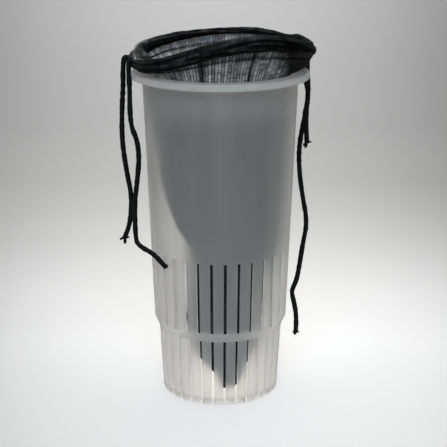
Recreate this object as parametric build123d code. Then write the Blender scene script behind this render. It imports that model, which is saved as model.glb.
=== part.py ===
from build123d import *
import math
import os

# A tall hydroponic net pot with a drawstring mesh liner, in millimetres and degrees.
# The origin is on the pot's axis at the underside of its foot, +Z is up and -Y is the front.

# Pot: heights
POT_HEIGHT = 215.0
LIP_HEIGHT = 4.0
SHOULDER_TOP = 51.0
SHOULDER_BOTTOM = 45.0
FLOOR = 2.0

# Pot: outside radii, and how far the lip stands out from the wall's top
TOP_RADIUS = 50.0
LIP_OVERHANG = 7.0
SHOULDER_RADIUS = 44.0
LOWER_RADIUS = 41.0
FOOT_RADIUS = 38.5

# Pot: wall, edges and slots
WALL = 1.8
LIP_BEVEL = 1.0
SLOT_COUNT = 32
SLOT_WIDTH = 2.0
SLOT_PHASE = 4.1
UPPER_SLOT_TOP = 99.0
FLOOR_SOLID_RADIUS = 24.0

# Mesh bag: the sack
BAG_WALL = 0.8
BAG_CLEARANCE = 0.6
FOLD_COUNT = 7
FOLD_DEPTH = 0.05
FOLD_PHASE = 40.0
CLOTH_STATIONS = 28
TIP_ROUND = 3.0

# Mesh bag: the hem, whose height above the lip is a mean and three waves (size, angle of a crest)
HEM_RADIUS = 4.1
HEM_WALL = 0.45
HEM_SIDES = 8
HEM_HALF_WIDTH = 56.3
HEM_HALF_DEPTH = 52.0
HEM_SHIFT = 1.3
HEM_RISE = 14.7
HEM_WAVES = ((4.2, -10.3), (5.0, -76.4), (1.6, 49.2))

# Drawcords
CORD_DIAMETER = 3.0
CORD_SIDES = 6
CORD_GAP = 0.12
EXIT_CLEARANCE = 0.3
LEFT_EXIT = 190.0
RIGHT_EXIT = 20.0
EXIT_SPREAD = 2.2
LOOP_RUNS = 20
BEND_SHARE = 0.45

# Sack sections from the tip up: height as a share of the pot's inside depth, then the reach to the
# left, right, front and back as shares of the pot's inside radius at that height
SACK_SECTIONS = (
    (0.045, 0.08, 0.39, 0.80, -0.35),
    (0.095, 0.33, 0.51, 0.84, -0.10),
    (0.150, 0.53, 0.66, 0.86, 0.16),
    (0.270, 0.54, 0.70, 0.76, 0.44),
    (0.405, 0.53, 0.82, 0.78, 0.66),
    (0.465, 0.58, 0.92, 0.86, 0.79),
    (0.545, 0.71, 0.955, 0.92, 0.90),
    (0.640, 0.83, 0.965, 0.95, 0.94),
    (0.810, 0.91, 0.97, 0.965, 0.96),
    (0.930, 0.95, 0.98, 0.98, 0.975),
)
TIP_PLACE = (0.19, -0.64)

# Free ends of the cords, from just outside the hem to the tip
LEFT_FRONT_END = (
    (-59.6, -12.4, 216.0),
    (-57.8, -13.8, 206.5),
    (-57.2, -14.2, 192.0),
    (-56.4, -14.0, 180.5),
    (-53.0, -14.0, 172.5),
    (-51.8, -14.0, 161.0),
    (-53.2, -14.0, 147.0),
    (-55.4, -14.0, 130.0),
    (-55.3, -14.0, 114.5),
    (-54.4, -15.5, 104.5),
    (-50.0, -19.0, 99.0),
    (-43.6, -23.8, 97.6),
    (-38.8, -29.0, 93.6),
    (-35.8, -31.4, 89.8),
)
LEFT_BACK_END = (
    (-61.2, -7.6, 216.0),
    (-61.4, -6.4, 206.5),
    (-62.7, -6.0, 193.0),
    (-63.3, -6.0, 171.0),
    (-60.9, -6.0, 151.0),
    (-57.6, -6.0, 133.0),
    (-58.2, -6.0, 117.5),
    (-60.2, -6.5, 109.5),
    (-62.6, -7.0, 105.0),
)
RIGHT_FRONT_END = (
    (58.9, 17.0, 221.8),
    (57.2, 18.0, 212.0),
    (58.6, 18.0, 195.0),
    (58.7, 18.0, 179.0),
    (56.4, 18.0, 163.5),
)
RIGHT_BACK_END = (
    (57.0, 22.2, 221.8),
    (55.0, 23.0, 212.0),
    (57.0, 22.4, 194.0),
    (55.2, 21.6, 177.0),
    (52.4, 21.0, 160.0),
    (52.8, 20.0, 144.0),
    (55.2, 19.0, 127.0),
    (58.8, 18.0, 108.5),
    (56.0, 18.0, 93.0),
    (53.8, 18.0, 76.0),
    (52.2, 18.0, 66.5),
    (49.2, 18.0, 59.5),
    (51.0, 18.0, 51.0),
    (52.8, 18.0, 40.0),
    (52.3, 18.0, 29.5),
)

# Derived sizes
LIP_RADIUS = TOP_RADIUS + LIP_OVERHANG
LIP_UNDERSIDE = POT_HEIGHT - LIP_HEIGHT
FLANGE_UNDERSIDE = POT_HEIGHT - WALL
MOUTH_RADIUS = TOP_RADIUS - WALL
SLOT_STEP = 360.0 / SLOT_COUNT
FRONT = 270.0
CHANNEL_RADIUS = HEM_RADIUS - HEM_WALL
CORD_RADIUS = CORD_DIAMETER / 2
LANE = (CORD_DIAMETER + CORD_GAP) / 2


def wall_radius(z):
    """Outside radius of the pot's wall at a height."""
    if z <= SHOULDER_BOTTOM:
        return FOOT_RADIUS + (LOWER_RADIUS - FOOT_RADIUS) * z / SHOULDER_BOTTOM
    if z <= SHOULDER_TOP:
        share = (z - SHOULDER_BOTTOM) / (SHOULDER_TOP - SHOULDER_BOTTOM)
        return LOWER_RADIUS + (SHOULDER_RADIUS - LOWER_RADIUS) * share
    share = (z - SHOULDER_TOP) / (FLANGE_UNDERSIDE - SHOULDER_TOP)
    return SHOULDER_RADIUS + (TOP_RADIUS - SHOULDER_RADIUS) * share


def slot_wedge(bottom, top):
    """A slot's cutter: its sides run to the pot's axis, so the slot narrows with the wall."""
    slope = SLOT_WIDTH / 2 / SHOULDER_RADIUS
    outline = Polyline(
        (FLOOR_SOLID_RADIUS, -FLOOR_SOLID_RADIUS * slope),
        (LIP_RADIUS, -LIP_RADIUS * slope),
        (LIP_RADIUS, LIP_RADIUS * slope),
        (FLOOR_SOLID_RADIUS, FLOOR_SOLID_RADIUS * slope),
        close=True,
    )
    return Pos(0, 0, bottom) * extrude(make_face(outline), top - bottom)


def make_pot():
    """The moulded pot: a turned section with a turned-down lip, cut by two tiers of slots."""
    section = Polyline(
        (0, 0),
        (FOOT_RADIUS, 0),
        (LOWER_RADIUS, SHOULDER_BOTTOM),
        (SHOULDER_RADIUS, SHOULDER_TOP),
        (TOP_RADIUS, FLANGE_UNDERSIDE),
        (LIP_RADIUS - WALL, FLANGE_UNDERSIDE),
        (LIP_RADIUS - WALL, LIP_UNDERSIDE),
        (LIP_RADIUS, LIP_UNDERSIDE),
        (LIP_RADIUS, POT_HEIGHT),
        (MOUTH_RADIUS, POT_HEIGHT),
        (SHOULDER_RADIUS - WALL, SHOULDER_TOP),
        (LOWER_RADIUS - WALL, SHOULDER_BOTTOM),
        (wall_radius(FLOOR) - WALL, FLOOR),
        (0, FLOOR),
        close=True,
    )
    profile = make_face(section)
    lip_corner = profile.vertices().sort_by_distance((LIP_RADIUS, POT_HEIGHT))[0]
    profile = chamfer(lip_corner, LIP_BEVEL)
    pot = revolve(Plane.XZ * profile, Axis.Z)

    upper_slot = slot_wedge(SHOULDER_TOP, UPPER_SLOT_TOP)
    lower_slot = slot_wedge(-FLOOR, SHOULDER_BOTTOM)
    slots = []
    for i in range(SLOT_COUNT):
        turn = Rot(0, 0, FRONT + SLOT_PHASE + i * SLOT_STEP)
        slots.append(turn * upper_slot)
        slots.append(turn * lower_slot)
    return pot - slots


def hem_height(angle):
    """Height of the hem's centreline at an angle round the mouth."""
    height = POT_HEIGHT + HEM_RISE
    for i, (size, crest) in enumerate(HEM_WAVES):
        height += size * math.cos(math.radians((i + 1) * (angle - crest)))
    return height


def hem_point(angle, outward=0.0, lift=0.0):
    """A point beside the hem's centreline, offset outwards and upwards from it."""
    turn = math.radians(angle)
    x = HEM_SHIFT + (HEM_HALF_WIDTH + outward) * math.cos(turn)
    y = (HEM_HALF_DEPTH + outward) * math.sin(turn)
    return Vector(x, y, hem_height(angle) + lift)


def bend_radii(points):
    """The largest tangent arcs that the runs of a route leave room for."""
    points = [Vector(*p) for p in points]
    radii = []
    for before, corner, after in zip(points, points[1:], points[2:]):
        arriving = corner - before
        leaving = after - corner
        turn = math.radians(arriving.get_angle(leaving))
        shorter = min(arriving.length, leaving.length)
        radii.append(BEND_SHARE * shorter / math.tan(turn / 2))
    return radii


def tube(points, radius):
    """A cord's bar along straight runs and tangent arcs, and the route's length."""
    route = FilletPolyline(*points, radius=bend_radii(points))
    start = Plane(origin=route @ 0, z_dir=route % 0)
    return sweep(start * RegularPolygon(radius, CORD_SIDES), path=route), route.length


def hem_roll(radius):
    """A closed roll along the hem, in two halves that meet face to face."""
    sections = []
    for k in range(CLOTH_STATIONS + 1):
        angle = 360.0 * k / CLOTH_STATIONS
        ahead = hem_point(angle + 1) - hem_point(angle - 1)
        outward = Vector(ahead.Y, -ahead.X, 0)
        station = Plane(origin=hem_point(angle), x_dir=outward, z_dir=ahead)
        sections.append(station * RegularPolygon(radius, HEM_SIDES))
    half = CLOTH_STATIONS // 2
    return loft(sections[: half + 1], ruled=True) + loft(sections[half:], ruled=True)


def gather(angle):
    """How far the folds draw the cloth in from its full reach at an angle round the sack."""
    wave = math.cos(math.radians(FOLD_COUNT * angle + FOLD_PHASE))
    return 1 - FOLD_DEPTH * (1 + wave) / 2


def sack_rings():
    """Rings of points on the sack's outside, from the tip to the inside of the hem's roll."""
    angles = [360.0 * k / CLOTH_STATIONS for k in range(CLOTH_STATIONS)]
    tip_height = FLOOR + BAG_CLEARANCE
    tip_reach = wall_radius(tip_height) - WALL
    rings = []
    ring = []
    for angle in angles:
        turn = math.radians(angle)
        x = TIP_PLACE[0] * tip_reach + TIP_ROUND * math.cos(turn)
        y = TIP_PLACE[1] * tip_reach + TIP_ROUND * math.sin(turn)
        ring.append(Vector(x, y, tip_height))
    rings.append(ring)
    depth = POT_HEIGHT - FLOOR
    for share, left, right, front, back in SACK_SECTIONS:
        z = FLOOR + share * depth
        reach = wall_radius(z) - WALL
        ring = []
        for angle in angles:
            turn = math.radians(angle)
            x = (right - left) / 2 + (right + left) / 2 * gather(angle) * math.cos(turn)
            y = (back - front) / 2 + (back + front) / 2 * gather(angle) * math.sin(turn)
            ring.append(Vector(x * reach, y * reach, z))
        rings.append(ring)
    ring = []
    for angle in angles:
        turn = math.radians(angle)
        reach = (MOUTH_RADIUS - BAG_CLEARANCE) * gather(angle)
        ring.append(Vector(reach * math.cos(turn), reach * math.sin(turn), POT_HEIGHT))
    rings.append(ring)
    top = [hem_point(a, -BAG_WALL, -HEM_RADIUS / 2) for a in angles]
    half = [(low + high) * 0.5 - Vector(0, 0, BAG_WALL) for low, high in zip(rings[-1], top)]
    rings.append(half)
    rings.append(top)
    return rings


def inward(rings, i, k):
    """The unit normal into the sack at one point of its outside."""
    last = len(rings) - 1
    along = rings[min(i + 1, last)][k] - rings[max(i - 1, 0)][k]
    around = rings[i][(k + 1) % CLOTH_STATIONS] - rings[i][k - 1]
    return along.cross(around).normalized()


def skin(lower, upper):
    """Flat triangles between two rings of points."""
    faces = []
    for k in range(CLOTH_STATIONS):
        after = (k + 1) % CLOTH_STATIONS
        faces.append(Face(Wire.make_polygon([lower[k], lower[after], upper[after]])))
        faces.append(Face(Wire.make_polygon([lower[k], upper[after], upper[k]])))
    return faces


def make_sack():
    """The sack as one skin of cloth, open at the top."""
    outer = sack_rings()
    inner = []
    for i, ring in enumerate(outer):
        inner.append([p + inward(outer, i, k) * BAG_WALL for k, p in enumerate(ring)])
    floor_lift = Vector(0, 0, BAG_WALL)
    centre = sum(outer[0], Vector(0, 0, 0)) * (1 / CLOTH_STATIONS)
    shrink = 1 - BAG_WALL / TIP_ROUND
    inner[0] = [centre + (p - centre) * shrink + floor_lift for p in outer[0]]
    faces = [Face(Wire.make_polygon(outer[0])), Face(Wire.make_polygon(inner[0]))]
    for rings in (outer, inner):
        for lower, upper in zip(rings, rings[1:]):
            faces += skin(lower, upper)
    faces += skin(outer[-1], inner[-1])
    return Solid(Shell(faces))


def lane_point(angle, side):
    """A point of a cord's lane inside the hem, where the two cords twist once round each other.

    The cord's arcs cut inside their points, further than the hem's own sides do, so the lane
    stands out by the difference.
    """
    turn = math.radians(angle - FRONT + side)
    cord_cut = 1 - math.cos(math.pi / LOOP_RUNS)
    hem_cut = (1 - math.cos(math.pi / CLOTH_STATIONS)) / 2
    outward = HEM_HALF_WIDTH * (cord_cut - hem_cut)
    return hem_point(angle, outward + LANE * math.cos(turn), LANE * math.sin(turn))


def drawcord_route(exit_angle, side, forward_end, backward_end):
    """A cord's route: one free end, the loop through the hem, and the other free end."""
    first = exit_angle + EXIT_SPREAD
    step = (360.0 - 2 * EXIT_SPREAD) / LOOP_RUNS
    loop = [lane_point(first + step * k, side) for k in range(LOOP_RUNS + 1)]
    start = [Vector(*p) for p in reversed(forward_end)]
    end = [Vector(*p) for p in backward_end]
    return start + loop + end


def exit_holes(route, forward_count):
    """Where the cord's two ends pass out through the hem: its own path, with room round it."""
    radius = CORD_RADIUS + EXIT_CLEARANCE
    leaving = route[forward_count - 2 : forward_count + 3]
    last = forward_count + LOOP_RUNS
    entering = route[last - 2 : last + 3]
    return [tube(leaving, radius)[0], tube(entering, radius)[0]]


os.makedirs("parts", exist_ok=True)

left_route = drawcord_route(LEFT_EXIT, 0.0, LEFT_FRONT_END, LEFT_BACK_END)
right_route = drawcord_route(RIGHT_EXIT, 180.0, RIGHT_BACK_END, RIGHT_FRONT_END)

pot = make_pot()
mesh_bag = make_sack() + hem_roll(HEM_RADIUS) - hem_roll(CHANNEL_RADIUS)
mesh_bag -= exit_holes(left_route, len(LEFT_FRONT_END))
mesh_bag -= exit_holes(right_route, len(RIGHT_BACK_END))

cords = {}
for name, route in (("left_drawcord", left_route), ("right_drawcord", right_route)):
    cords[name], length = tube(route, CORD_RADIUS)
    ideal = RegularPolygon(CORD_RADIUS, CORD_SIDES).area * length
    radii = [round(r, 1) for r in bend_radii(route)]
    print(name, "length", round(length, 1), "volume ratio", round(cords[name].volume / ideal, 4))
    print(name, "bend radii", radii)

for name, piece in {"pot": pot, "mesh_bag": mesh_bag, **cords}.items():
    export_step(piece, f"parts/{name}.step")
    print(name, round(piece.volume / 1000, 2), "cm3")
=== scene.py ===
# %% [markdown]
# # A hydroponic net pot with a drawstring mesh liner
#
# The pot is one moulding of frosted plastic with two tiers of narrow slots. A black knitted bag hangs in it,
# with a rolled hem that stands above the lip, and two drawcords leave the hem at its left and right ends.
# The CAD model comes first, as a fixed frame in metres. Its pot is kept and given a finish. Its bag and its
# cords are plain solids, so this lesson builds the cloth and the braid that stand for them.

# %% Load the frame
import math

import bpy
import numpy as np
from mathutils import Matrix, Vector, noise


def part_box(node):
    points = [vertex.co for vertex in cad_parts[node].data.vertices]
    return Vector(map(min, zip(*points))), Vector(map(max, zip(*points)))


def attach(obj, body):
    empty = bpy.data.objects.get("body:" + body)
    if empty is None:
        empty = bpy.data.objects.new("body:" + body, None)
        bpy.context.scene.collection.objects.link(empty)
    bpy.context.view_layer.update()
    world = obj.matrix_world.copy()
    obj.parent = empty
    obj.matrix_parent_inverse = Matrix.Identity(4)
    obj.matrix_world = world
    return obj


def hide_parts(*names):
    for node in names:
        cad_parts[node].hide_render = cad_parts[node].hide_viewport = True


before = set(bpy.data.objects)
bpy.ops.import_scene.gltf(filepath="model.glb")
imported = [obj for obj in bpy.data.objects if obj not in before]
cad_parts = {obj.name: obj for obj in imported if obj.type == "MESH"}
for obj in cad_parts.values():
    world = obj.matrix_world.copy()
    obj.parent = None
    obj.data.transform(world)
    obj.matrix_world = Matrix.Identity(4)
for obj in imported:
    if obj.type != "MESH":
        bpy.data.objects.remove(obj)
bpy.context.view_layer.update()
MM = 0.001
_, pot_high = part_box("pot")
POT_HEIGHT = pot_high.z / MM
print("frame nodes", sorted(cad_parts), "pot height", round(POT_HEIGHT, 1), "mm")

# %% [markdown]
# ## The camera
#
# The picture was taken a little above the mouth, from far enough away that the walls hardly converge. A wide
# lens close by would spread them, so this is a long lens at about 0.86 m. The pot stands slightly left of
# the middle. Turning the camera would lean the walls a little, so it has a small sideways shift instead.

# %% Camera
CAMERA_PLACE = (0.0, -0.78465, 0.34445)
CAMERA_PITCH = 16.4475
CAMERA_LENS = 99.67
CAMERA_SENSOR = 36.0
CAMERA_SHIFT = 0.0072
camera_data = bpy.data.cameras.new("camera")
camera_data.sensor_width = CAMERA_SENSOR
camera_data.lens = CAMERA_LENS
camera_data.shift_x = CAMERA_SHIFT
camera = bpy.data.objects.new("camera", camera_data)
camera.location = CAMERA_PLACE
camera.rotation_euler = (math.radians(90.0 - CAMERA_PITCH), 0.0, 0.0)
bpy.context.scene.collection.objects.link(camera)
bpy.context.scene.camera = camera
bpy.context.scene.view_settings.view_transform = "Standard"
print("camera lens", CAMERA_LENS, "mm at", CAMERA_PLACE)

# %% [markdown]
# ## Helpers for grids of points
#
# Cloth, hem and cord are all grids: rows of points joined by quads. Modifiers could bend a plain grid, but
# points worked out in code put each rib and each row where it belongs. One helper turns such a grid into a
# mesh and lays out its UV map in the units that the finish needs, such as one unit for each rib.


# %% Grid helper
def mesh_object(name, points, faces):
    """A smooth mesh in the scene, from points in millimetres and faces."""
    mesh = bpy.data.meshes.new(name)
    mesh.from_pydata((points * MM).tolist(), [], faces)
    mesh.shade_smooth()
    made = bpy.data.objects.new(name, mesh)
    bpy.context.scene.collection.objects.link(made)
    return made


def grid_mesh(name, points, u_span=1.0, v_marks=None, wrap=True, loop=False, caps=""):
    """Quads over rows of points in millimetres.

    wrap closes each row, loop joins the last row to the first, and caps names the ends that are filled.
    """
    rows, columns = points.shape[:2]
    spans = columns if wrap else columns - 1
    steps = rows if loop else rows - 1
    if v_marks is None:
        v_marks = np.linspace(0.0, 1.0, steps + 1)
    i, j = np.meshgrid(np.arange(steps), np.arange(spans), indexing="ij")
    beside = (j + 1) % columns
    ahead = (i + 1) % rows
    corners = [i * columns + j, i * columns + beside, ahead * columns + beside, ahead * columns + j]
    faces = np.stack(corners, -1).reshape(-1, 4).tolist()
    u = np.stack([j, j + 1, j + 1, j], -1) * (u_span / spans)
    v = np.stack([v_marks[i], v_marks[i], v_marks[i + 1], v_marks[i + 1]], -1)
    uv = np.stack([u, v], -1).reshape(-1, 2)
    if "first" in caps:
        faces.append(list(range(columns))[::-1])
        uv = np.concatenate([uv, np.zeros((columns, 2))])
    if "last" in caps:
        faces.append(list(range((rows - 1) * columns, rows * columns)))
        uv = np.concatenate([uv, np.zeros((columns, 2))])
    made = mesh_object(name, points.reshape(-1, 3), faces)
    made.data.uv_layers.new(name="UVMap").data.foreach_set("uv", uv.astype(np.float32).ravel())
    return made


# %% [markdown]
# ## Helpers for finishes
#
# Each finish is a small node tree. The first helpers set a node's inputs, add a node and start a material.
# The others stand for the nodes that every finish needs, so that a material reads as a few sums.


# %% Node helpers
def dress(tree, node, inputs):
    """Sets a node's inputs by name or index, from other nodes' outputs and from constants."""
    for key, value in inputs.items():
        if hasattr(value, "is_output"):
            tree.links.new(value, node.inputs[key])
        else:
            node.inputs[key].default_value = value


def add(tree, kind, inputs=None, **values):
    """Adds a node with its settings and its inputs."""
    node = tree.nodes.new(kind)
    for key, value in values.items():
        setattr(node, key, value)
    dress(tree, node, inputs or {})
    return node


def new_material(name):
    """A material, its node tree and its shader."""
    material = bpy.data.materials.new(name)
    material.use_nodes = True
    return material, material.node_tree, material.node_tree.nodes["Principled BSDF"]


# %% Sums, ramps and mixes
def calc(tree, operation, *terms):
    """The result of a math node on outputs and numbers."""
    return add(tree, "ShaderNodeMath", dict(enumerate(terms)), operation=operation).outputs[0]


def scaled(tree, vector, factors):
    """A vector times one factor for each axis."""
    return add(tree, "ShaderNodeVectorMath", {0: vector, 1: factors}, operation="MULTIPLY").outputs[0]


def remap(tree, value, start, end, low=0.0, high=1.0):
    """A value taken from one range to another and held at its ends."""
    inputs = {"Value": value, "From Min": start, "From Max": end, "To Min": low, "To Max": high}
    return add(tree, "ShaderNodeMapRange", inputs).outputs["Result"]


def cloudy(tree, vector, scale, detail):
    """Soft noise from 0 to 1."""
    inputs = {"Vector": vector, "Scale": scale, "Detail": detail}
    return add(tree, "ShaderNodeTexNoise", inputs).outputs["Fac"]


def ramp(tree, value, stops):
    """A colour ramp by a value; each stop is a position and a grey or a colour."""
    node = add(tree, "ShaderNodeValToRGB", {"Fac": value})
    elements = node.color_ramp.elements
    elements[0].position = stops[0][0]
    elements[1].position = stops[-1][0]
    for position, _ in stops[1:-1]:
        elements.new(position)
    for element, (_, colour) in zip(elements, stops):
        element.color = (*colour, 1.0) if isinstance(colour, tuple) else (colour, colour, colour, 1.0)
    return node.outputs["Color"]


def tinted(tree, first, second):
    """Two colours multiplied."""
    inputs = {0: 1.0, 6: first, 7: second}
    return add(tree, "ShaderNodeMix", inputs, data_type="RGBA", blend_type="MULTIPLY").outputs[2]


# %% [markdown]
# ## Black braid for the cords
#
# The cords are tight black braids with a faint shine. A bump could draw the weave, but on a cord this thin it
# shows in the outline, so the braid itself is in the mesh. The finish only varies the black along the cord
# and keeps it from looking like bare plastic.

# %% Braid finish
BRAID_BLACKS = ((0.0, (0.0006, 0.0006, 0.0008)), (1.0, (0.005, 0.005, 0.0055)))
braid, tree, shader = new_material("black_braid")
place = add(tree, "ShaderNodeTexCoord").outputs["Object"]
blacks = ramp(tree, cloudy(tree, place, scale=900.0, detail=3.0), BRAID_BLACKS)
dress(tree, shader, {"Base Color": blacks, "Roughness": 0.55, "Specular IOR Level": 0.16})
dress(tree, shader, {"Sheen Weight": 0.02, "Sheen Roughness": 0.5})
print("finish", braid.name)

# %% [markdown]
# ## The drawcords' free ends
#
# Two strands hang from each end of the hem. Each strand follows one smooth curve through listed points,
# nearly the ones that the CAD bars follow. A bevel on the curve would give a smooth wire, so the braid is
# built round points read from the curve: a tube whose radius swells where eight strands cross eight others.

# %% Cord routes, in millimetres from the hem to the tip
CORD_DIAMETER = 3.0
CORD_ROUTES = {
    "left_front_cord": (
        (-54.4, -11.0, 220.8),
        (-56.7, -12.3, 225.7),
        (-57.7, -13.3, 217.5),
        (-57.0, -13.8, 206.5),
        (-57.2, -14.2, 192.0),
        (-56.4, -14.0, 180.5),
        (-53.0, -14.0, 172.5),
        (-51.8, -14.0, 161.0),
        (-53.2, -14.0, 147.0),
        (-55.4, -14.0, 130.0),
        (-55.3, -14.0, 114.5),
        (-54.9, -15.2, 108.6),
        (-54.3, -15.7, 104.4),
        (-50.8, -18.4, 102.0),
        (-43.7, -23.8, 99.8),
        (-38.9, -28.8, 96.6),
        (-35.8, -31.4, 93.8),
    ),
    "left_back_cord": (
        (-54.8, -7.2, 220.8),
        (-60.2, -7.4, 227.0),
        (-61.6, -6.8, 217.0),
        (-61.6, -6.4, 206.5),
        (-62.7, -6.0, 193.0),
        (-63.3, -6.0, 171.0),
        (-60.9, -6.0, 151.0),
        (-57.6, -6.0, 133.0),
        (-58.8, -6.0, 117.5),
        (-60.9, -6.5, 109.5),
        (-63.1, -7.0, 105.0),
    ),
    "right_front_cord": (
        (55.9, 16.2, 226.9),
        (56.9, 17.4, 221.8),
        (56.6, 18.4, 212.0),
        (58.0, 18.0, 198.0),
        (56.1, 18.0, 179.0),
        (57.5, 18.0, 163.5),
    ),
    "right_back_cord": (
        (54.5, 20.1, 227.3),
        (54.6, 23.4, 221.8),
        (53.0, 25.6, 211.0),
        (57.9, 22.8, 200.0),
        (57.6, 22.4, 191.0),
        (55.2, 21.6, 177.0),
        (52.4, 21.0, 160.0),
        (52.8, 20.0, 144.0),
        (55.2, 19.0, 127.0),
        (58.8, 18.0, 108.5),
        (56.0, 18.0, 93.0),
        (53.8, 18.0, 76.0),
        (52.2, 18.0, 67.0),
        (49.9, 18.0, 61.6),
        (49.0, 18.0, 58.2),
        (50.8, 18.0, 51.0),
        (52.8, 18.0, 40.0),
        (52.3, 18.0, 29.5),
    ),
}


# %% A smooth line through each route, and points read from it
LINE_RESOLUTION = 24


def route_line(name, route):
    """Points in millimetres along a route's NURBS curve."""
    curve = bpy.data.curves.new(name + "_line", "CURVE")
    curve.dimensions = "3D"
    spline = curve.splines.new("NURBS")
    spline.points.add(len(route) - 1)
    for point, place in zip(spline.points, route):
        point.co = (*[c * MM for c in place], 1.0)
    spline.order_u = 3
    spline.use_endpoint_u = True
    spline.resolution_u = LINE_RESOLUTION
    holder = bpy.data.objects.new(name + "_line", curve)
    bpy.context.scene.collection.objects.link(holder)
    bpy.context.view_layer.update()
    line = bpy.data.meshes.new_from_object(holder)
    points = np.array([v.co for v in line.vertices]) / MM
    bpy.data.objects.remove(holder)
    return points


def evenly(points, step):
    """The same line with points a steady step apart, and its length."""
    runs = np.linalg.norm(np.diff(points, axis=0), axis=1)
    along = np.concatenate([[0.0], np.cumsum(runs)])
    marks = np.linspace(0.0, along[-1], max(2, round(along[-1] / step) + 1))
    return np.stack([np.interp(marks, along, points[:, k]) for k in range(3)], -1), along[-1]


def rings_along(line, sides):
    """Unit directions round each point of a line, square to it, that don't spin along it."""
    ahead = np.gradient(line, axis=0)
    ahead /= np.linalg.norm(ahead, axis=1)[:, None]
    side = np.empty_like(line)
    guess = np.array([0.0, 1.0, 0.0]) if abs(ahead[0][1]) < 0.9 else np.array([1.0, 0.0, 0.0])
    for i, direction in enumerate(ahead):
        guess = guess - direction * guess.dot(direction)
        guess /= np.linalg.norm(guess)
        side[i] = guess
    up = np.cross(ahead, side)
    turn = np.linspace(0.0, 2 * math.pi, sides, endpoint=False)[None, :, None]
    return np.cos(turn) * side[:, None, :] + np.sin(turn) * up[:, None, :]


# %% Braided tubes
CARRIERS = 4
BRAID_PITCH = 4.6
BRAID_DEPTH = 0.68
BRAID_FULLNESS = 0.18
BRAID_SIDES = 24
BRAID_STEP = 0.38
SLACK = 0.26
SLACK_RATE = 0.42


def wobble(x, y, z=0.0):
    """Smooth noise from -1 to 1, the same on every run."""
    return noise.noise(Vector((x, y, z)))


def braided_tube(name, route):
    """A braid along a route: its outline swells where strands of the two lays cross."""
    line, length = evenly(route_line(name, route), BRAID_STEP)
    turn = np.linspace(0.0, 2 * math.pi, BRAID_SIDES, endpoint=False)[None, :]
    along = (np.arange(len(line)) * length / (len(line) - 1))[:, None]
    climb = 2 * math.pi * along / BRAID_PITCH
    right_lay = np.abs(np.cos(CARRIERS * turn + climb))
    left_lay = np.abs(np.cos(CARRIERS * turn - climb))
    slack = np.array([SLACK * wobble(SLACK_RATE * a, float(line[0][0])) for a in along[:, 0]])[:, None]
    full = CORD_DIAMETER / 2 + BRAID_FULLNESS + slack
    radius = full - BRAID_DEPTH * (1.0 - np.maximum(right_lay, left_lay))
    points = line[:, None, :] + radius[..., None] * rings_along(line, BRAID_SIDES)
    tube = grid_mesh(name, points, v_marks=along[:, 0], caps="first and last")
    tube.data.materials.append(braid)
    return tube, line, length


cords = {}
for name, route in CORD_ROUTES.items():
    cords[name] = braided_tube(name, route)
    print(name, "length", round(cords[name][2], 1), "mm")

# %% [markdown]
# ## Frayed tips
#
# The cords were cut and nothing seals them, so the strands open out at each tip into three bundles. Hair
# could make the fray, but a mesh goes with the part everywhere. Each bundle is a handful of short tapered
# threads that leave the braid together. One helper builds many threads as one mesh, and the hem's stitches
# use it again later.


# %% Threads
def thread_mesh(name, lines, thick, thin, sides=5):
    """One mesh of closed threads along lines in millimetres, tapering from one radius to another."""
    points, faces = [], []
    for line in lines:
        first = len(points)
        radius = np.linspace(thick, thin, len(line))[:, None, None]
        points.extend((line[:, None, :] + radius * rings_along(line, sides)).reshape(-1, 3))
        for i in range(len(line) - 1):
            near_row, far_row = first + i * sides, first + (i + 1) * sides
            for k in range(sides):
                n = (k + 1) % sides
                faces.append((near_row + k, near_row + n, far_row + n, far_row + k))
        faces.append(tuple(range(first + sides - 1, first - 1, -1)))
        faces.append(tuple(range(len(points) - sides, len(points))))
    return mesh_object(name, np.array(points), faces)


# %% Tips, with where each bundle points in millimetres
FRAYS = {
    "left_back_cord": ((-2.8, 0.0, -0.9), (0.5, -0.4, -3.9), (3.1, 0.3, 0.5)),
    "left_front_cord": ((1.7, -0.5, 0.2), (0.2, 0.2, -2.0), (1.6, 0.4, -1.4)),
    "right_front_cord": ((2.4, -0.5, 0.6), (-1.2, 0.2, -3.8), (-2.4, 0.3, -2.0)),
    "right_back_cord": ((-1.9, 0.0, -0.4), (-0.8, -0.4, -2.4), (1.7, 0.3, -0.8)),
}
FRAY_ROOT = -5
THREADS = 9
THREAD_POINTS = 6
THREAD_TURN = 2.4
THREAD_SPREAD = 0.24
THREAD_FLARE = 1.6
THREAD_RISE = 0.6
THREAD_RISE_RATE = 2.1
THREAD_UNEVEN = 0.25
THREAD_UNEVEN_RATE = 3.7
THREAD_RADII = (0.45, 0.3)


def frayed_bundle(root, tip, bundle):
    """Curved threads from inside the braid, through its tip and out along a bundle."""
    t = np.linspace(0.0, 1.0, THREAD_POINTS)[:, None]
    lines = []
    for n in range(THREADS):
        spin = THREAD_TURN * n
        spread = THREAD_SPREAD * math.sqrt(n)
        rise = THREAD_RISE * math.sin(THREAD_RISE_RATE * spin)
        aside = np.array([math.cos(spin), math.sin(spin), rise]) * spread
        reach = np.array(bundle) * (1.0 - THREAD_UNEVEN * abs(math.sin(THREAD_UNEVEN_RATE * n)))
        end = tip + aside * THREAD_FLARE + reach
        lines.append(root * (1 - t) ** 2 + (tip + aside) * 2 * t * (1 - t) + end * t**2)
    return lines


tips = {}
for name, bundles in FRAYS.items():
    tube, line, _ = cords[name]
    lines = [thread for bundle in bundles for thread in frayed_bundle(line[FRAY_ROOT], line[-1], bundle)]
    tips[name] = thread_mesh(name + "_tip", lines, *THREAD_RADII)
    tips[name].data.materials.append(braid)
    node = "left_drawcord" if name.startswith("left") else "right_drawcord"
    for piece in (tube, tips[name]):
        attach(piece, "root")
        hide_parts(node)
print("tips", len(tips))

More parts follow.
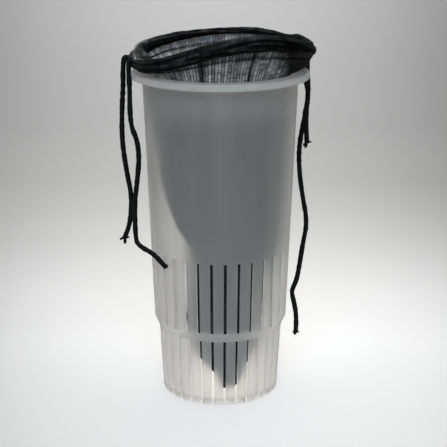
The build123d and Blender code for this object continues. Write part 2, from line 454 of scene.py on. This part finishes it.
# %% [markdown]
# ## The line of the hem
#
# The bag's hem stands above the lip as a leaning ring. From above it is an ellipse a little wider than the
# lip, and its height rises and falls in three slow waves: high at the front right, low at the left end.

# %% Hem line
HEM_HALF_WIDTH = 56.3
HEM_HALF_DEPTH = 52.0
HEM_SHIFT = 1.3
HEM_RISE = 14.7
HEM_WAVES = ((4.2, -10.3), (5.0, -76.4), (1.6, 49.2))


def hem_line(angle):
    """Points on the hem's centreline, in millimetres, at angles in degrees round the mouth."""
    turn = np.radians(angle)
    height = np.full_like(turn, POT_HEIGHT + HEM_RISE)
    for i, (size, crest) in enumerate(HEM_WAVES):
        height = height + size * np.cos((i + 1) * np.radians(angle - crest))
    return np.stack([HEM_SHIFT + HEM_HALF_WIDTH * np.cos(turn), HEM_HALF_DEPTH * np.sin(turn), height], -1)


print("hem heights", np.round(hem_line(np.arange(0.0, 360.0, 90.0))[:, 2], 1))

# %% [markdown]
# ## The hem's roll
#
# The knit is folded over and sewn down, so the hem is a fat roll, taller than it is thick, with long creases
# along it. It bunches where the cords leave it. Simulated cloth would fold too, but not in these places. So
# the roll is a grid of upright ovals along the hem line, with the knit's ribs as real ridges that wrap round
# it. Each table below gives half a size at a few angles round the mouth.

# %% Size of the roll round the mouth
RIB_COUNT = 156
RIB_STATIONS = 3
HEM_STATIONS = RIB_STATIONS * RIB_COUNT
HALF_HEIGHTS = (
    (5.0, 4.7), (18.0, 4.8), (31.0, 3.7), (43.0, 1.9), (56.0, 2.3), (100.0, 2.5), (135.0, 3.7), (165.0, 4.8),
    (190.0, 3.2), (215.0, 4.3), (250.0, 4.6), (280.0, 4.9), (310.0, 4.7), (340.0, 4.7),
)
HALF_WIDTHS = (
    (5.0, 2.7), (20.0, 3.4), (42.0, 2.2), (60.0, 2.4), (100.0, 2.5), (135.0, 2.9), (165.0, 3.1), (190.0, 2.7),
    (215.0, 3.2), (270.0, 3.2), (335.0, 3.3),
)
angles = np.linspace(0.0, 360.0, HEM_STATIONS, endpoint=False)
turn = np.radians(angles)
centre = hem_line(angles)
outward = np.stack([np.cos(turn), np.sin(turn), np.zeros_like(turn)], -1)
rib_wave = np.cos(2 * math.pi * np.arange(HEM_STATIONS) / RIB_STATIONS)


def smooth_between(marks, values, at):
    """A smooth curve through a table of values."""
    marks = np.asarray(marks, float)
    values = np.asarray(values, float)
    slopes = np.gradient(values, marks)
    k = np.clip(np.searchsorted(marks, at) - 1, 0, len(marks) - 2)
    span = marks[k + 1] - marks[k]
    t = (at - marks[k]) / span
    a, b = values[k], values[k + 1]
    rise_a, rise_b = slopes[k] * span, slopes[k + 1] * span
    bend = 3 * (b - a) - 2 * rise_a - rise_b
    twist = rise_a + rise_b - 2 * (b - a)
    return a + t * rise_a + t**2 * bend + t**3 * twist


def round_hem(table):
    """Values set at a few angles, spread smoothly round the whole hem."""
    marks, values = np.array(table).T
    return smooth_between(np.concatenate([marks - 360, marks, marks + 360]), np.tile(values, 3), angles)


half_height = round_hem(HALF_HEIGHTS)
half_thick = round_hem(HALF_WIDTHS)
print("roll from", round(2 * half_height.min(), 1), "to", round(2 * half_height.max(), 1), "mm tall")

# %% [markdown]
# ## Folds of the roll
#
# The roll is lumpy, and near the two cord exits the cloth is drawn together, so there it puckers. Long
# creases run along it where the cloth twists over the cord inside it. Each crease is a short entry: the
# angles where it starts and ends round the mouth, where it starts and ends round the roll, with 0 facing out
# and 90 on top, and its depth. All of this is added to the ovals as one map of swellings in millimetres.

# %% Lumps and puckers, with the angle, width and strength of each gather
HEM_SIDES = 36
GATHERS = ((190.0, 12.0, 1.0), (12.0, 24.0, 0.4))
PUCKER_RATE = 26
PUCKER_DEPTH = 0.9
roll = np.linspace(0.0, 360.0, HEM_SIDES, endpoint=False)
spin = np.radians(roll)


def near(angle, centre, width):
    """A bump that is 1 at one angle and fades out over a width, in degrees."""
    away = (angle - centre + 180.0) % 360.0 - 180.0
    return np.exp(-((away / width) ** 2))


def lump(a, s):
    """Broad, middling and fine lumps at an angle round the mouth and one round the roll."""
    broad = 0.35 * wobble(5 * math.cos(a), 5 * math.sin(a), 1.1 * math.cos(s) + 7.0)
    middling = 0.22 * wobble(12 * math.cos(a), 12 * math.sin(a), 2.3 * math.sin(s) + 3.0)
    fine = 0.1 * wobble(40 * math.cos(a), 40 * math.sin(a), 4.0 * math.sin(s))
    return broad + middling + fine


swell = np.array([[lump(a, s) for s in spin] for a in turn])
gather = sum(strength * near(angles, at, width) for at, width, strength in GATHERS)
pucker = np.array([wobble(PUCKER_RATE * math.cos(a), PUCKER_RATE * math.sin(a), 5.0) for a in turn])
swell += (PUCKER_DEPTH * gather * pucker)[:, None]
print("lumps from", round(swell.min(), 2), "to", round(swell.max(), 2), "mm")

# %% Creases along the roll
ROLL_CREASES = (
    (188, 236, 75, 20, 1.0), (205, 262, -10, 25, 0.8), (232, 292, 62, 28, 0.9), (262, 330, -18, 22, 0.8),
    (285, 352, 70, 40, 0.9), (318, 382, 12, 60, 1.1), (330, 372, -55, -55, 0.7), (20, 78, 88, 130, 0.8),
    (62, 132, 160, 115, 0.8), (95, 168, 95, 150, 0.9), (128, 184, 175, 140, 0.9), (150, 196, 30, 70, 0.8),
)
CREASE_WIDTH = 17.0
CREASE_LIPS = 0.45
for start, end, low, high, depth in ROLL_CREASES:
    share = ((angles - start) % 360.0) / (end - start)
    fade = np.where(share < 1.0, np.sin(np.pi * np.clip(share, 0.0, 1.0)), 0.0) ** 0.5
    off = np.abs((roll[None, :] - (low + (high - low) * share)[:, None] + 180.0) % 360.0 - 180.0)
    valley = np.exp(-((off / CREASE_WIDTH) ** 2))
    lips = np.exp(-(((off - 2.0 * CREASE_WIDTH) / CREASE_WIDTH) ** 2))
    swell += depth * fade[:, None] * (CREASE_LIPS * lips - valley)
print("creases", len(ROLL_CREASES))

# %% [markdown]
# ## Where the cords leave the roll
#
# At the right end the cloth stands up in a knob, and at the left end an eyelet dips beside a bulge. Each is a
# soft bump in the same map: its angle and width round the mouth, for the knob and the eyelet also its place
# and width round the roll, and its height. A web of slack cloth reaches inwards behind the left end.

# %% The roll
KNOB = (29.0, 7.0, 95.0, 38.0, 1.4)
EYELET = (194.0, 2.6, 100.0, 24.0, -2.2)
BULGE = (187.0, 6.0, 2.0)
WEB = (183.0, 15.0, 8.5)
WEB_TAPER = 1.5
ROLL_RIBS = 0.08
ROLL_UNITS = 24.0
for at, width, at_roll, roll_width, rise in (KNOB, EYELET):
    across_roll = np.exp(-(((roll - at_roll) / roll_width) ** 2))
    swell += rise * near(angles, at, width)[:, None] * across_roll[None, :]
swell -= ROLL_RIBS * rib_wave[:, None]
facing_out = np.clip(np.cos(spin), 0.0, 1.0)[None, :]
facing_in = np.clip(-np.cos(spin), 0.0, 1.0)[None, :]
swell += BULGE[2] * near(angles, *BULGE[:2])[:, None] * facing_out
web = WEB[2] * near(angles, *WEB[:2])[:, None] * facing_in**WEB_TAPER
across = (half_thick[:, None] + swell) * np.cos(spin) - web
upright = (half_height[:, None] + swell) * np.sin(spin)
hem_points = centre[:, None, :] + outward[:, None, :] * across[..., None]
hem_points[..., 2] += upright
hem_marks = np.linspace(0.0, RIB_COUNT, HEM_STATIONS + 1)
hem = grid_mesh("bag_hem", hem_points, u_span=ROLL_UNITS, v_marks=hem_marks, loop=True)
print("hem roll", len(hem.data.polygons), "faces")

# %% [markdown]
# ## The sack
#
# Below the hem the knit drops to the pot's mouth and hangs inside as a sack that tapers to a point near the
# floor at the front. Its shape is a short table of sections: a height as a share of the pot's depth, then how
# far the cloth reaches to the left, right, front and back, as shares of the pot's inside. A simulation could
# hang the cloth, but its shape shows through the wall and has to be this one. A smooth curve between the
# sections gives the rows of the grid. On the left the upper sack leans in from the wall.

# %% Sections of the sack
WALL = 1.8
FLOOR = 2.0
POT_PROFILE = ((0.0, 38.5), (45.0, 41.0), (51.0, 44.0), (213.2, 50.0))
SACK_SECTIONS = (
    (0.013, -0.04, 0.26, 0.64, -0.60),
    (0.045, 0.04, 0.38, 0.80, -0.35),
    (0.095, 0.33, 0.51, 0.84, -0.10),
    (0.150, 0.53, 0.66, 0.86, 0.16),
    (0.270, 0.54, 0.70, 0.76, 0.44),
    (0.405, 0.53, 0.86, 0.78, 0.66),
    (0.465, 0.58, 0.95, 0.86, 0.79),
    (0.545, 0.725, 0.97, 0.92, 0.90),
    (0.640, 0.855, 0.975, 0.95, 0.94),
    (0.810, 0.93, 0.975, 0.965, 0.96),
    (0.930, 0.97, 0.98, 0.98, 0.975),
    (1.000, 0.975, 0.985, 0.985, 0.985),
)


def pot_inside(z):
    """Inside radius of the pot at a height, in millimetres."""
    heights, radii = zip(*POT_PROFILE)
    return np.interp(z, heights, radii) - WALL


print("sack sections", len(SACK_SECTIONS))

# %% Rows of cloth from the tip to the mouth
FOLD_COUNT = 7
FOLD_DEPTH = 0.05
FOLD_PHASE = 40.0
TIP_LIFT = 0.9
TIP_REACH = 0.05
CLOTH_GAP = 0.4
LEAN = 0.22
LEAN_START = 0.42
LEAN_SPAN = 0.1
CLING = 0.55
CLING_REACH = 0.97
CLING_SQUARE = 0.94
SACK_ROWS = 84
table = np.array(SACK_SECTIONS)
fold = 1 - FOLD_DEPTH * (1 + np.cos(np.radians(FOLD_COUNT * angles + FOLD_PHASE))) / 2


def sack_row(share):
    """One row of the sack, at a share of the pot's depth."""
    z = FLOOR + TIP_LIFT + share * (POT_HEIGHT - FLOOR - TIP_LIFT)
    reach = pot_inside(z) - CLOTH_GAP
    left, right, front, back = [float(smooth_between(table[:, 0], table[:, k], share)) for k in range(1, 5)]
    x = (right - left) / 2 + max((right + left) / 2, TIP_REACH) * fold * np.cos(turn)
    y = (back - front) / 2 + max((back + front) / 2, TIP_REACH) * fold * np.sin(turn)
    touch = -math.sqrt(max(0.0, CLING_SQUARE - left**2))
    wall_x, wall_y = CLING_REACH * np.cos(turn), CLING_REACH * np.sin(turn)
    leaning_x = np.maximum(wall_x, -left + LEAN * (wall_y - touch))
    lean = CLING * np.clip((share - LEAN_START) / LEAN_SPAN, 0.0, 1.0)
    x = x * (1 - lean) + leaning_x * lean
    y = y * (1 - lean) + wall_y * lean
    return np.stack([x * reach, y * reach, np.full_like(x, z)], -1)


sack_points = [sack_row(share) for share in np.linspace(SACK_SECTIONS[0][0], 1.0, SACK_ROWS)]
print("sack rows", len(sack_points))

# %% [markdown]
# ## The band above the lip
#
# Between the mouth and the hem the knit stands free. At the right end the drawcord has pulled it into pleats
# that spill out over the lip, so the rows there bow outwards. Sharp creases drop from the hem in front, each
# with its angle and its depth. They are moves of the same grid, so the band and the sack stay one cloth.

# %% Rows of the band
BAND_ROWS = 24
HEM_TUCK = 0.35
HEM_DROP = 0.55
SPILL = (4.0, 26.0)
SPILL_REACH = 7.0
SPILL_SKEW = 0.5
SPILL_ROUND = 0.8
PLEATS = 80.0
PLEAT_DRIFT = 2.0
PLEAT_DRIFTS = 11.0
PLEAT_DEPTH = 0.8
WAIST = 1.2
SAG = 0.6
mouth_row = sack_points[-1]
hem_row = centre - outward * (half_thick[:, None] * HEM_TUCK)
hem_row[:, 2] -= half_height * HEM_DROP
spilled = near(angles, *SPILL)
pleats = np.sin(np.radians(angles * PLEATS) + PLEAT_DRIFT * np.sin(np.radians(angles * PLEAT_DRIFTS)))
for step in range(1, BAND_ROWS + 1):
    t = step / BAND_ROWS
    row = mouth_row * (1 - t) + hem_row * t
    bow = math.sin(math.pi * t)
    spill = SPILL_REACH * math.sin(math.pi * t**SPILL_SKEW) ** SPILL_ROUND + PLEAT_DEPTH * pleats * bow
    row += outward * (spilled * spill - WAIST * bow * (1 - spilled))[:, None]
    row[:, 2] -= SAG * bow * (1 - spilled)
    sack_points.append(row)
sack_points = np.array(sack_points)
print("band rows", BAND_ROWS)

# %% Ripples, ribs and creases of the cloth
TIP_EASE = 12.0
EDGE_EASE = 0.3
RIPPLE_RATE = 6
RIPPLE_RISE = 9
RIPPLE_DEPTH = 0.5
BAND_RIPPLE = 0.35
RIB_DEPTH = 0.13
CREASES = ((255.5, 3.4), (293.0, 4.6), (233.0, 1.0), (318.0, 2.0))
CREASE_SPAN = 1.5
CREASE_LEVEL = 1.08
CREASE_FALL = 0.14
COURSE = 1.5
for i in range(len(sack_points)):
    level = i / SACK_ROWS
    rise = RIPPLE_RISE * min(level, 1.0)
    tight = min(1.0, TIP_EASE * level) * (1.0 if i < len(sack_points) - 2 else EDGE_EASE)
    ripple = np.array([wobble(RIPPLE_RATE * math.cos(a), RIPPLE_RATE * math.sin(a), rise) for a in turn])
    calm = 1.0 if i < SACK_ROWS else BAND_RIPPLE + (1 - BAND_RIPPLE) * spilled
    inward_by = RIPPLE_DEPTH * (1 + ripple) * tight * calm + RIB_DEPTH * (1 + rib_wave) * tight
    mouth_share = math.exp(-(((level - CREASE_LEVEL) / CREASE_FALL) ** 2))
    for crease_angle, crease_depth in CREASES:
        inward_by = inward_by + crease_depth * mouth_share * near(angles, crease_angle, CREASE_SPAN)
    sack_points[i] -= outward * inward_by[:, None]
runs = np.linalg.norm(np.diff(sack_points, axis=0), axis=2).mean(axis=1)
courses = np.concatenate([[0.0], np.cumsum(runs)]) / COURSE
sack = grid_mesh("bag_sack", sack_points, u_span=RIB_COUNT, v_marks=courses, caps="first")
print("sack", len(sack.data.polygons), "faces")

# %% [markdown]
# ## The sewn hem
#
# The roll is made by folding the knit's edge inwards and sewing it down a little below the roll. So a second
# layer lies inside the band down to the seam, and a row of zigzag stitches shows on both faces. The layer is
# the band's own rows set inwards, and the stitches are one black thread on each face.

# %% Turned-in layer and stitches
SEAM_ROW = SACK_ROWS + round(0.66 * BAND_ROWS)
LAYER_FIRST = SEAM_ROW - 2
LAYER_GAP = 0.6
ZIGZAGS = 150
STITCH_RADIUS = 0.34
STITCH_OUTSIDE = 0.5
STITCH_INSIDE = -1.1
layer_points = sack_points[LAYER_FIRST:] - outward[None, :, :] * LAYER_GAP
hem_layer = grid_mesh("bag_hem_layer", layer_points, u_span=RIB_COUNT, v_marks=courses[LAYER_FIRST:])


def zigzag(offset):
    """A closed zigzag along the seam, set off from the cloth by a distance in millimetres."""
    steps = np.arange(2 * ZIGZAGS + 1)
    column = steps * HEM_STATIONS / (2 * ZIGZAGS)
    before = np.floor(column).astype(int)
    mix = (column - before)[:, None]
    row = np.where(steps % 2, SEAM_ROW - 1, SEAM_ROW + 1)
    points = sack_points[row, before % HEM_STATIONS] * (1 - mix)
    points = points + sack_points[row, (before + 1) % HEM_STATIONS] * mix
    return points + outward[before % HEM_STATIONS] * offset


seam = [zigzag(STITCH_OUTSIDE), zigzag(STITCH_INSIDE)]
stitches = thread_mesh("bag_stitches", seam, STITCH_RADIUS, STITCH_RADIUS)
print("stitches", 2 * ZIGZAGS, "on each face")

# %% [markdown]
# ## Black knit
#
# The bag is a fine warp knit: upright ribs with rows of small openings between them. The ribs are ridges of
# the mesh. An even pattern would look printed, so the finish makes each rib and each loop a little lighter or
# darker by chance. It also paints a highlight on the rib crests and paints shade in the grooves and in the
# two deepest folds. Nodes do this from the UV map alone.


# %% Tones of the ribs and loops, with painted highlight and shade
RIB_HIGHLIGHT_AND_SHADE = (0.62, 1.3)
RIB_CHANCE = (0.55, 1.4)
LOOP_CHANCE = (0.62, 1.4)
LOOPS = (1.0, 1.25, 1.0)
FOLD_RIBS = (0.3, 1.3)
FOLD_SHADE = (0.15, 1.0)


def rib_tones(tree, uv, across, folds):
    """Tones to multiply: painted crest highlight and groove shade, a chance tone per rib and per loop,
    painted fold shade.
    """
    # Painted highlight on each rib's crest and painted shade in its groove.
    tones = [remap(tree, calc(tree, "PINGPONG", across, 0.5), 0.0, 0.5, *RIB_HIGHLIGHT_AND_SHADE)]
    chance = add(tree, "ShaderNodeTexWhiteNoise", {"W": calc(tree, "FLOOR", across)}, noise_dimensions="1D")
    tones.append(remap(tree, chance.outputs["Value"], 0.0, 1.0, *RIB_CHANCE))
    loop = add(tree, "ShaderNodeVectorMath", {0: scaled(tree, uv, LOOPS)}, operation="FLOOR")
    chance = add(tree, "ShaderNodeTexWhiteNoise", {"Vector": loop.outputs[0]}, noise_dimensions="2D")
    tones.append(remap(tree, chance.outputs["Value"], 0.0, 1.0, *LOOP_CHANCE))
    # Painted shade in the deepest folds, where the cloth turns in.
    for fold_angle in folds:
        away = calc(tree, "SUBTRACT", across, fold_angle / 360.0 * RIB_COUNT)
        tones.append(remap(tree, calc(tree, "ABSOLUTE", away), *FOLD_RIBS, *FOLD_SHADE))
    return tones


# %% [markdown]
# ## Openings of the knit
#
# The openings only show where the knit is stretched, above the pot's lip. Cut into the mesh they would be
# thousands of holes, so they are in the finish: a repeating oval of the UV map goes half see-through in
# every course, and it closes where the cloth is slack or bunched.


# %% Openings
OPENING_EDGE = (1.2, 0.5)
OPENING_DEPTH = 0.5
TAUT_LEVELS = (0.207, 0.215)


def knit_cover(tree, across, along, spread, wide, tall):
    """How much the yarn covers, with an oval opening between each two ribs in each course."""
    rib_part = calc(tree, "MULTIPLY", calc(tree, "PINGPONG", across, 0.5), 1 / wide)
    course_part = calc(tree, "MULTIPLY", calc(tree, "PINGPONG", along, 0.5), 1 / tall)
    oval = calc(tree, "ADD", calc(tree, "POWER", rib_part, 2.0), calc(tree, "POWER", course_part, 2.0))
    seen = calc(tree, "MULTIPLY", remap(tree, oval, *OPENING_EDGE), spread)
    return calc(tree, "MULTIPLY_ADD", seen, -OPENING_DEPTH, 1.0)


# %% [markdown]
# ## The three thicknesses of knit
#
# The sack is one layer. The turned-in layer is doubled and lets nothing through. The roll is several layers
# thick, so it is much blacker, with a painted highlight along its top and a painted sheen on the top of its
# left end. All three are one finish with other numbers. The knit has painted shade inside the pot, under the
# roll and in the bunched right end, and painted sheen in a few patches.

# %% Knit finish
LINT_DARK = 0.3
LINT_LIGHT = 0.75
# Painted shade: below these heights, inside the pot, the knit is a shaded copy of the lit band above the lip.
SHADE_BELOW_MOUTH_LEVELS = (0.205, 0.214)
# Painted shade in the bunched right end, where the gathered folds shade the cloth; the openings close there
# too.
BUNCHED_FROM = (0.03, 0.043)
BUNCHED_SHADE = (1.0, 0.015)
# Painted sheen in a few soft patches along the knit.
PATCHES = (0.25, 0.045, 1.0)
PATCH_EDGE = (0.49, 0.7)
# Painted sheen on the upper face of the roll's left end.
SHEEN_END_X = (-0.047, -0.053)
SHEEN_END_TOP = (2.5, 5.0)
# Painted shade under the hem, and painted light toward the lip.
HEM_SHADE = (1.3, 0.45)
# Painted highlight along the top of the roll.
CROWN_HIGHLIGHT_EDGE = (4.4, 1.4)
KNIT_ROUGHNESS = 0.5


def knit_material(
    name, dark, light, shaded, patch_sheen, gloss, openings=(), folds=(), fade=(), end_sheen=0.0, crown_highlight=0.0
):
    """Black knit by the UV map: one unit across for each rib, one unit along for each course."""
    material, tree, shader = new_material(name)
    coords = add(tree, "ShaderNodeTexCoord").outputs
    across, along, _ = add(tree, "ShaderNodeSeparateXYZ", {0: coords["UV"]}).outputs
    x, _, z = add(tree, "ShaderNodeSeparateXYZ", {0: coords["Object"]}).outputs
    lint = cloudy(tree, coords["Object"], scale=160.0, detail=4.0)
    yarn = ramp(tree, lint, ((LINT_DARK, dark), (LINT_LIGHT, light)))
    # Painted shade in the bunched right end; the same share closes the openings.
    bunched = remap(tree, x, *BUNCHED_FROM, *BUNCHED_SHADE)
    patch = cloudy(tree, scaled(tree, coords["UV"], PATCHES), scale=1.6, detail=3.0)
    tones = rib_tones(tree, coords["UV"], across, folds)
    # Painted shade below the mouth and in the bunched right end, and painted sheen in the patches.
    tones += [remap(tree, z, *SHADE_BELOW_MOUTH_LEVELS, shaded, 1.0), bunched, remap(tree, patch, *PATCH_EDGE, 1.0, patch_sheen)]
    # Painted sheen on the upper face of the roll's left end.
    if end_sheen:
        where = calc(tree, "MULTIPLY", remap(tree, x, *SHEEN_END_X), remap(tree, across, *SHEEN_END_TOP))
        tones.append(calc(tree, "MULTIPLY_ADD", where, end_sheen - 1.0, 1.0))
    # Painted shade under the hem, and painted light toward the lip.
    if fade:
        tones.append(remap(tree, along, *fade, *HEM_SHADE))
    tone = tones[0]
    for other in tones[1:]:
        tone = calc(tree, "MULTIPLY", tone, other)
    # Painted highlight along the top of the roll.
    if crown_highlight:
        off_top = calc(tree, "ABSOLUTE", calc(tree, "SUBTRACT", across, ROLL_UNITS / 4))
        tone = calc(tree, "ADD", tone, remap(tree, off_top, *CROWN_HIGHLIGHT_EDGE, 0.0, crown_highlight))
    dress(tree, shader, {"Base Color": tinted(tree, yarn, tone), "Specular IOR Level": gloss})
    dress(tree, shader, {"Roughness": KNIT_ROUGHNESS})
    if openings:
        spread = calc(tree, "MULTIPLY", remap(tree, z, *TAUT_LEVELS), bunched)
        dress(tree, shader, {"Alpha": knit_cover(tree, across, along, spread, *openings)})
    return material


# %% The bag's finishes
# The two deepest creases get painted shade.
SHADED_FOLDS = [crease_angle for crease_angle, _ in CREASES[:2]]
# Painted shade under the hem in the band, with painted light toward the lip.
BAND_HEM_SHADE = (courses[SACK_ROWS + 3], courses[-3])
# The net and the turned-in layer have lit grey tones for the band; shaded gives their painted shade inside
# the pot.
net = knit_material(
    "black_knit", (0.17, 0.17, 0.17), (0.5, 0.5, 0.497),
    shaded=0.06, patch_sheen=1.25, gloss=0.06, openings=(0.2, 0.46), folds=SHADED_FOLDS, fade=BAND_HEM_SHADE,
)
roll_knit = knit_material(
    "black_knit_roll", (0.001, 0.001, 0.0012), (0.009, 0.0095, 0.009),
    shaded=1.0, patch_sheen=12.0, gloss=0.02, end_sheen=7.0, crown_highlight=4.2,
)
double = knit_material(
    "black_knit_double", (0.22, 0.22, 0.22), (0.62, 0.62, 0.62),
    shaded=0.06, patch_sheen=1.25, gloss=0.06, fade=BAND_HEM_SHADE,
)
sack.data.materials.append(net)
hem_layer.data.materials.append(double)
hem.data.materials.append(roll_knit)
stitches.data.materials.append(braid)
for piece in (sack, hem, hem_layer, stitches):
    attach(piece, "root")
    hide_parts("mesh_bag")
print("finishes", net.name, roll_knit.name, double.name)

# %% [markdown]
# ## Frosted plastic
#
# The pot is milky, unpigmented plastic. Most light goes through it and is scattered on the way, so what
# touches the wall shows clearly and what stands back from it blurs. Scattering under the surface would hide
# the bag. A rough transmission shows it in this way, and the small share that isn't transmitted gives the
# wall its pale haze. The lip, the shoulder and the top of the wall scatter more and let less through, and a
# painted contact shadow greys the foot's edge. A trace of painted light makes the lower tier and the lip
# paler than the wall between, which counts because light crosses the wall several times. A faint sheen lifts
# the edges.

# %% Frosted finish on the pot
STREAKS = (1.0, 1.0, 0.04)
HAZE = ((0.3, (0.9, 0.89, 0.875)), (0.7, (1.0, 0.99, 0.97)))
# Painted light: the lower tier and the lip are a trace paler than the wall between.
WALL_PAINTED_LIGHT = ((0.0, 1.0), (0.2, 1.0), (0.27, 0.99), (0.965, 0.99), (0.985, 1.0), (1.0, 1.0))
FOOT_RADII = (0.037, 0.038)
FOOT_LEVELS = (0.0056, 0.0028)
FOOT_SHADE = 0.4
BLAST_LEVELS = (0.09, 0.115)
BLAST = (0.64, 0.4)
BLAST_GRAIN = (-0.05, 0.05)
CLEARNESS = (
    (0.0, 0.84), (0.2, 0.82), (0.212, 0.68), (0.235, 0.68), (0.25, 0.84),
    (0.85, 0.85), (0.94, 0.76), (0.972, 0.74), (0.985, 0.6), (1.0, 0.6),
)
frosted, tree, shader = new_material("frosted_plastic")
place = add(tree, "ShaderNodeTexCoord").outputs["Object"]
height = add(tree, "ShaderNodeSeparateXYZ", {0: place}).outputs["Z"]
level = remap(tree, height, 0.0, POT_HEIGHT * MM)
cloud = cloudy(tree, scaled(tree, place, STREAKS), scale=140.0, detail=3.0)
# Haze streaks, times the painted light by height.
milk = tinted(tree, ramp(tree, cloud, HAZE), ramp(tree, level, WALL_PAINTED_LIGHT))
radius = add(tree, "ShaderNodeVectorMath", {0: scaled(tree, place, (1.0, 1.0, 0.0))}, operation="LENGTH")
# Painted contact shadow: the outer edge of the foot, near the floor, is greyer.
outer = remap(tree, radius.outputs["Value"], *FOOT_RADII)
foot = calc(tree, "MULTIPLY", outer, remap(tree, height, *FOOT_LEVELS))
milk = tinted(tree, milk, calc(tree, "MULTIPLY_ADD", foot, -FOOT_SHADE, 1.0))
grain = remap(tree, cloud, 0.0, 1.0, *BLAST_GRAIN)
frost = calc(tree, "ADD", grain, remap(tree, height, *BLAST_LEVELS, *BLAST))
dress(tree, shader, {"Base Color": milk, "Roughness": frost})
dress(tree, shader, {"Transmission Weight": ramp(tree, level, CLEARNESS), "IOR": 1.21})
dress(tree, shader, {"Coat Weight": 0.35, "Coat Roughness": 0.25})
dress(tree, shader, {"Sheen Weight": 0.25, "Sheen Roughness": 0.45, "Sheen Tint": (1.0, 0.97, 0.92, 1.0)})
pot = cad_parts["pot"]
pot.data.materials.clear()
pot.data.materials.append(frosted)
print("finish", frosted.name)

# %% [markdown]
# ## Floor and backdrop
#
# The pot stands on a white sheet that sweeps up behind it. A painted pool of light makes the sheet brightest
# around the foot and lets it fall to grey at the top and the sides. Strong lamps could light that pool, but
# they would bleach the pale pot, so the pool is painted into the sheet's colour. Part of it is a painted glow
# that only shows: to the camera, in reflections and through the plastic.

# %% Sweep
SWEEP_WIDTH = 3.0
SWEEP_FRONT = -1.2
SWEEP_BACK = 0.55
SWEEP_BEND = 0.35
SWEEP_TOP = 1.6
bend = np.radians(np.linspace(0.0, 90.0, 17))
profile = [(SWEEP_FRONT, 0.0)]
profile += [(SWEEP_BACK + SWEEP_BEND * math.sin(b), SWEEP_BEND * (1 - math.cos(b))) for b in bend]
profile.append((SWEEP_BACK + SWEEP_BEND, SWEEP_TOP))
sheet_points = np.array([[(x, y, z) for x in (-SWEEP_WIDTH / 2, SWEEP_WIDTH / 2)] for y, z in profile])
floor = grid_mesh("floor", sheet_points / MM, wrap=False)
print("sweep", SWEEP_WIDTH, "m wide")

# %% Painted pool of light on the sweep, by the share of the way from front to top
FALL_FROM = (-0.2, 1.3)
FALL = (
    (0.0, 0.7), (0.18, 0.91), (0.25, 0.85), (0.35, 0.66), (0.42, 0.57),
    (0.5, 0.5), (0.62, 0.455), (0.72, 0.48), (1.0, 0.64),
)
POOL_DRIFT = (0.2, 0.5, -0.024, 0.012)
POOL_STEEPNESS = (0.0, 0.55, -11.0, -4.7)
POOL_EDGE = (0.56, 0.12)
PAPER = (1.0, 0.985, 0.96, 1.0)
# Strength of the painted glow.
GLOW = 0.5
white, tree, shader = new_material("white_sweep")
place = add(tree, "ShaderNodeTexCoord").outputs["Object"]
aside, back, height = add(tree, "ShaderNodeSeparateXYZ", {0: place}).outputs
share = remap(tree, calc(tree, "ADD", back, height), *FALL_FROM)
off_pool = calc(tree, "POWER", calc(tree, "ADD", aside, remap(tree, share, *POOL_DRIFT)), 2.0)
dimmed = calc(tree, "MULTIPLY_ADD", off_pool, remap(tree, share, *POOL_STEEPNESS), 1.0)
# Painted pool of light: brightest near the foot, falling to grey at the top and the sides.
shade = tinted(tree, ramp(tree, share, FALL), calc(tree, "SMOOTH_MAX", dimmed, *POOL_EDGE))
# Painted glow: the sheet glows for camera, glossy and transmission rays only.
ray = add(tree, "ShaderNodeLightPath").outputs
looked_at = calc(tree, "ADD", ray["Is Camera Ray"], ray["Is Glossy Ray"])
rays = {0: looked_at, 1: ray["Is Transmission Ray"]}
seen = add(tree, "ShaderNodeMath", rays, operation="ADD", use_clamp=True).outputs[0]
dress(tree, shader, {"Base Color": tinted(tree, shade, PAPER), "Roughness": 0.9})
dress(tree, shader, {"Emission Color": shade, "Emission Strength": calc(tree, "MULTIPLY", seen, GLOW)})
floor.data.materials.append(white)
print("finish", white.name)

# %% [markdown]
# ## Light
#
# The light is a plain studio: an even, slightly cool sky and two soft square lamps, a warm one above the pot
# and a cool one in front of it. Each lamp is a row of the table: its place and aim in metres, its size, its
# power and its tint.

# %% Light
SKY = (0.97, 0.985, 1.0, 1.0)
SKY_STRENGTH = 0.3
LAMPS = {
    "top": ((0.0, 0.3, 1.35), (0.0, 0.1, 0.0), 1.0, 6.0, (1.0, 0.975, 0.94)),
    "key": ((-0.05, -1.08, 1.1), (0.0, 0.0, 0.14), 0.8, 6.0, (0.74, 0.87, 1.0)),
}
world = bpy.data.worlds.new("studio")
world.use_nodes = True
dress(world.node_tree, world.node_tree.nodes["Background"], {"Color": SKY, "Strength": SKY_STRENGTH})
bpy.context.scene.world = world
for name, (place, aim, size, power, tint) in LAMPS.items():
    lamp_data = bpy.data.lights.new(name, "AREA")
    lamp_data.size = size
    lamp_data.energy = power
    lamp_data.color = tint
    lamp = bpy.data.objects.new(name, lamp_data)
    lamp.location = place
    lamp.rotation_euler = (Vector(aim) - Vector(place)).to_track_quat("-Z", "Y").to_euler()
    bpy.context.scene.collection.objects.link(lamp)
print("lights", list(LAMPS))

# %% [markdown]
# ## Cord ends and cloth
#
# The bag was cut as one piece of knit, once round the mouth and as deep as the sack.

# %% Cord ends and cloth
print("declared", len(cords), "cord ends and the bag's cloth")
